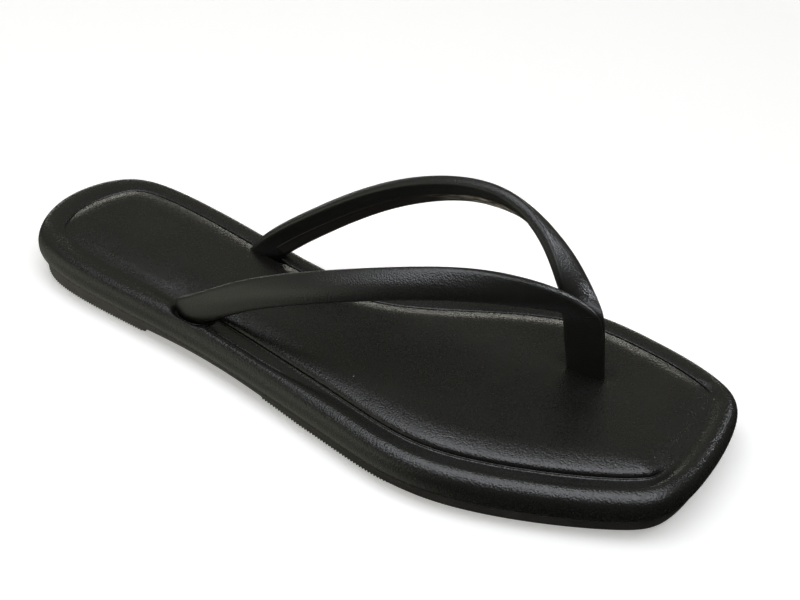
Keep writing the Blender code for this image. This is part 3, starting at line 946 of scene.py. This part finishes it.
def make_strap(name, table, side, leather):
    """Padded strap and its half of the toe post, which steps back below the fold."""
    across, out = strap_section()
    fractions = np.linspace(0.0, 1.0, STRAP_STEPS + 1)
    centre, wide, face, width, thick = strap_frames(table, side, fractions)
    rings = []
    for k in range(len(fractions)):
        sideways = np.outer(across * width[k] / 2.0, wide[k])
        rings.append(centre[k] + sideways + np.outer(out * thick[k], face[k]))
    points = np.concatenate(rings)
    faces = ring_faces(len(rings), SECTION_POINTS)
    faces.append(tuple(range(SECTION_POINTS)))
    last = (len(rings) - 1) * SECTION_POINTS
    faces.append(tuple(range(last, last + SECTION_POINTS)))
    bm = bmesh.new()
    bm.from_mesh(mesh_from(name, points * MM, faces))
    for height in (STRAP_END, POST_END):
        in_range = [f for f in bm.faces if (f.calc_center_median().y > 0.0) == (height == STRAP_END)]
        verts = {v for f in in_range for v in f.verts}
        edges = {e for f in in_range for e in f.edges}
        bmesh.ops.bisect_plane(bm, geom=list(verts) + list(edges) + in_range, dist=CUT_TOLERANCE,
                               plane_co=(0.0, 0.0, MM * height), plane_no=(0.0, 0.0, -1.0),
                               clear_outer=True)
        bmesh.ops.holes_fill(bm, edges=[e for e in bm.edges if e.is_boundary])
    bmesh.ops.recalc_face_normals(bm, faces=bm.faces)
    mesh = bpy.data.meshes.new(name)
    bm.to_mesh(mesh)
    bm.free()
    mesh.shade_smooth()
    mesh.set_sharp_from_angle(angle=math.radians(STRAP_SHARP))
    return add_object(name, mesh, leather)


def make_lining(name, table, side, film):
    """Thin film glued along the lower part of a strap's back, wrinkled where the strap arches."""
    fractions = np.linspace(*LINING_RUN, LINING_STEPS)
    centre, wide, face, width, thick = strap_frames(table, side, fractions)
    along = np.concatenate([[0.0], np.cumsum(np.linalg.norm(np.diff(centre, axis=0), axis=1))])
    share = np.linspace(*LINING_SPAN, LINING_POINTS)
    back = np.array(STRAP_SECTION[BACK_ROW:] + STRAP_SECTION[:1])
    depth = np.interp(share, back[:, 0], -back[:, 1])
    edge = np.minimum(1.0, np.minimum(np.arange(LINING_POINTS), np.arange(LINING_POINTS)[::-1]) / 2.0)
    rings, marks = [], []
    for k in range(LINING_STEPS):
        across = share * width[k] / 2.0
        tight = np.exp(-((fractions[k] - WRINKLE_MIDDLE) / WRINKLE_RUN) ** 2)
        spots = [Vector((along[k] / WRINKLE_LENGTH, step * WRINKLE_CLOSENESS, side)) for step in across]
        folds = np.array([noise.noise(spot) for spot in spots])
        proud = depth * thick[k] + LINING_THICK * edge + edge * WRINKLE_HEIGHT * tight * folds
        under = depth * thick[k] - LINING_THICK
        top = centre[k] + across[:, None] * wide[k] - proud[:, None] * face[k]
        low = centre[k] + across[:, None] * wide[k] - under[:, None] * face[k]
        rings.append(np.vstack([top, low[::-1]]))
        strip = np.column_stack([np.full(LINING_POINTS, along[k]), across, np.full(LINING_POINTS, tight)])
        marks.append(np.vstack([strip, strip[::-1]]))
    around = 2 * LINING_POINTS
    faces = ring_faces(LINING_STEPS, around)
    faces.append(tuple(range(around)))
    faces.append(tuple(range((LINING_STEPS - 1) * around, LINING_STEPS * around)))
    mesh = mesh_from(name, np.concatenate(rings) * MM, faces)
    attribute = mesh.attributes.new("strip", "FLOAT_VECTOR", "POINT")
    attribute.data.foreach_set("vector", np.concatenate(marks).ravel())
    return add_object(name, mesh, film)


def make_camera():
    """Camera of the photograph."""
    azimuth, elevation = math.radians(CAMERA_AZIMUTH), math.radians(CAMERA_ELEVATION)
    back = Vector((
        math.sin(azimuth) * math.cos(elevation),
        -math.cos(azimuth) * math.cos(elevation),
        math.sin(elevation),
    ))
    right = Vector((math.cos(azimuth), math.sin(azimuth), 0.0))
    turn = Matrix((right, back.cross(right), back)).transposed().to_4x4()
    data = bpy.data.cameras.new("camera")
    data.lens = CAMERA_LENS
    data.sensor_width = SENSOR_WIDTH
    data.clip_start = CLIP_START
    camera = bpy.data.objects.new("camera", data)
    camera.matrix_world = Matrix.Translation(CAMERA_PLACE) @ turn
    bpy.context.scene.collection.objects.link(camera)
    bpy.context.scene.camera = camera


def make_softbox(name, at, aim, width, depth, brightness, colour, spread):
    """Rectangular studio light of a set brightness, facing a point."""
    data = bpy.data.lights.new(name, "AREA")
    data.shape = "RECTANGLE"
    data.size = width
    data.size_y = depth
    data.energy = brightness * math.pi * width * depth
    data.color = to_linear(colour)[:3]
    data.spread = math.radians(spread)
    light = bpy.data.objects.new(name, data)
    turn = (Vector(aim) - Vector(at)).to_track_quat("-Z", "Y").to_matrix().to_4x4()
    light.matrix_world = Matrix.Translation(at) @ turn
    light.visible_camera = False
    bpy.context.scene.collection.objects.link(light)


def make_floor():
    """Plain pale floor, which glows a little so that its shadows stay light."""
    paper, tree, shader = new_material("studio paper")
    shader.inputs["Base Color"].default_value = to_linear(FLOOR_COLOUR)
    shader.inputs["Roughness"].default_value = FLOOR_ROUGHNESS
    shader.inputs["Emission Color"].default_value = to_linear(FLOOR_GLOW)
    where = add_node(tree, "ShaderNodeTexCoord").outputs["Object"]
    away = add_node(tree, "ShaderNodeVectorMath", {"operation": "LENGTH"}, None, {0: where})
    (near, far), (least, most) = FLOOR_GLOW_RUN, FLOOR_GLOW_SHARE
    glow = add_node(tree, "ShaderNodeMapRange", None,
                    {"From Min": near, "From Max": far, "To Min": least, "To Max": most},
                    {"Value": away.outputs["Value"]})
    tree.links.new(glow.outputs["Result"], shader.inputs["Emission Strength"])
    bm = bmesh.new()
    bmesh.ops.create_grid(bm, x_segments=FLOOR_STEPS, y_segments=FLOOR_STEPS, size=FLOOR_HALF)
    mesh = bpy.data.meshes.new("floor")
    bm.to_mesh(mesh)
    bm.free()
    floor = add_object("floor", mesh, paper)
    floor.visible_glossy = False
    floor.visible_shadow = False


def make_wall():
    """Pale round wall far behind the floor, for the eye only."""
    paper, _, shader = new_material("wall paper")
    shader.inputs["Base Color"].default_value = to_linear(WALL_COLOUR)
    shader.inputs["Emission Color"].default_value = to_linear(WALL_GLOW)
    shader.inputs["Emission Strength"].default_value = 1.0
    turn = np.linspace(0.0, math.tau, WALL_STEPS, endpoint=False)
    rings = []
    for radius, height in WALL:
        level = np.full(WALL_STEPS, height)
        rings.append(np.column_stack([radius * np.cos(turn), radius * np.sin(turn), level]))
    mesh = mesh_from("wall", np.concatenate(rings), ring_faces(len(WALL), WALL_STEPS))
    wall = add_object("wall", mesh, paper)
    wall.visible_diffuse = False
    wall.visible_glossy = False
    wall.visible_shadow = False


def make_room():
    """Dim room that the leather mirrors, paler on the far side, with a glow low behind the heel."""
    world = bpy.data.worlds.new("studio")
    bpy.context.scene.world = world
    world.use_nodes = True
    tree = world.node_tree
    way = add_node(tree, "ShaderNodeTexCoord").outputs["Generated"]
    upward = add_node(tree, "ShaderNodeSeparateXYZ", None, None, {"Vector": way})
    level = add_node(tree, "ShaderNodeMapRange", None, {"From Min": -1.0, "From Max": 1.0},
                     {"Value": upward.outputs["Z"]})
    shade = add_node(tree, "ShaderNodeValToRGB", None, None, {"Fac": level.outputs["Result"]})
    shade.color_ramp.interpolation = "EASE"
    steps = shade.color_ramp.elements
    for _ in range(len(ROOM_SHADES) - len(steps)):
        steps.new(0.5)
    for step, (up, value) in zip(steps, ROOM_SHADES):
        step.position = (up + 1.0) / 2.0
        step.color = (*(value * channel for channel in to_linear(ROOM_COLOUR)[:3]), 1.0)
    shares = []
    for direction, (first, last), (least, most) in (
        (FAR_WAY, FAR_SPREAD, FAR_SHARE),
        (GLOW_WAY, GLOW_SPREAD, GLOW_SHARE),
    ):
        toward = add_node(tree, "ShaderNodeVectorMath", {"operation": "DOT_PRODUCT"}, {1: direction},
                          {0: way})
        share = add_node(tree, "ShaderNodeMapRange", {"interpolation_type": "SMOOTHSTEP"},
                         {"From Min": first, "From Max": last, "To Min": least, "To Max": most},
                         {"Value": toward.outputs["Value"]})
        shares.append(share.outputs["Result"])
    room = add_node(tree, "ShaderNodeMix", {"data_type": "RGBA"}, {"A": to_linear("#000000")},
                    {"Factor": shares[0], "B": shade.outputs["Color"]})
    glow = add_node(tree, "ShaderNodeMix", {"data_type": "RGBA", "blend_type": "ADD"},
                    {"B": to_linear(GLOW_COLOUR)}, {"Factor": shares[1], "A": room.outputs["Result"]})
    tree.links.new(glow.outputs["Result"], tree.nodes["Background"].inputs["Color"])


def make_stage():
    """Floor, wall, mirrored room and soft studio light."""
    make_room()
    make_floor()
    make_wall()
    for softbox in SOFTBOXES:
        make_softbox(*softbox)
    bpy.context.scene.view_settings.view_transform = "Standard"


def main():
    """Make the pieces, hang them under the root body, hide the imported parts they cover and set the stage.
    """
    strap_leather = make_leather("strap leather")
    film = make_film()
    rubber = make_rubber()
    outsole = make_outsole(rubber)
    ribs = make_ribs(rubber)
    rim = make_rim(make_leather("rim leather"))
    pad = make_pad(make_leather("pad leather"))
    outer = make_strap("strap_outer", OUTER_STRAP, OUTER, strap_leather)
    inner = make_strap("strap_inner", INNER_STRAP, INNER, strap_leather)
    outer_film = make_lining("lining_outer", OUTER_STRAP, OUTER, film)
    inner_film = make_lining("lining_inner", INNER_STRAP, INNER, film)
    for piece, node, slot in (
        (outsole, "outsole", "moulded_rubber"),
        (ribs, "outsole", "moulded_rubber"),
        (rim, "midsole", "rim_leather"),
        (pad, "insole", "pad_leather"),
        (outer, "straps", "strap_leather"),
        (inner, "straps", "strap_leather"),
        (outer_film, "straps", "strap_leather"),
        (inner_film, "straps", "strap_leather"),
    ):
        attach(piece, "root")
        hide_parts(node)
    make_camera()
    make_stage()


main()
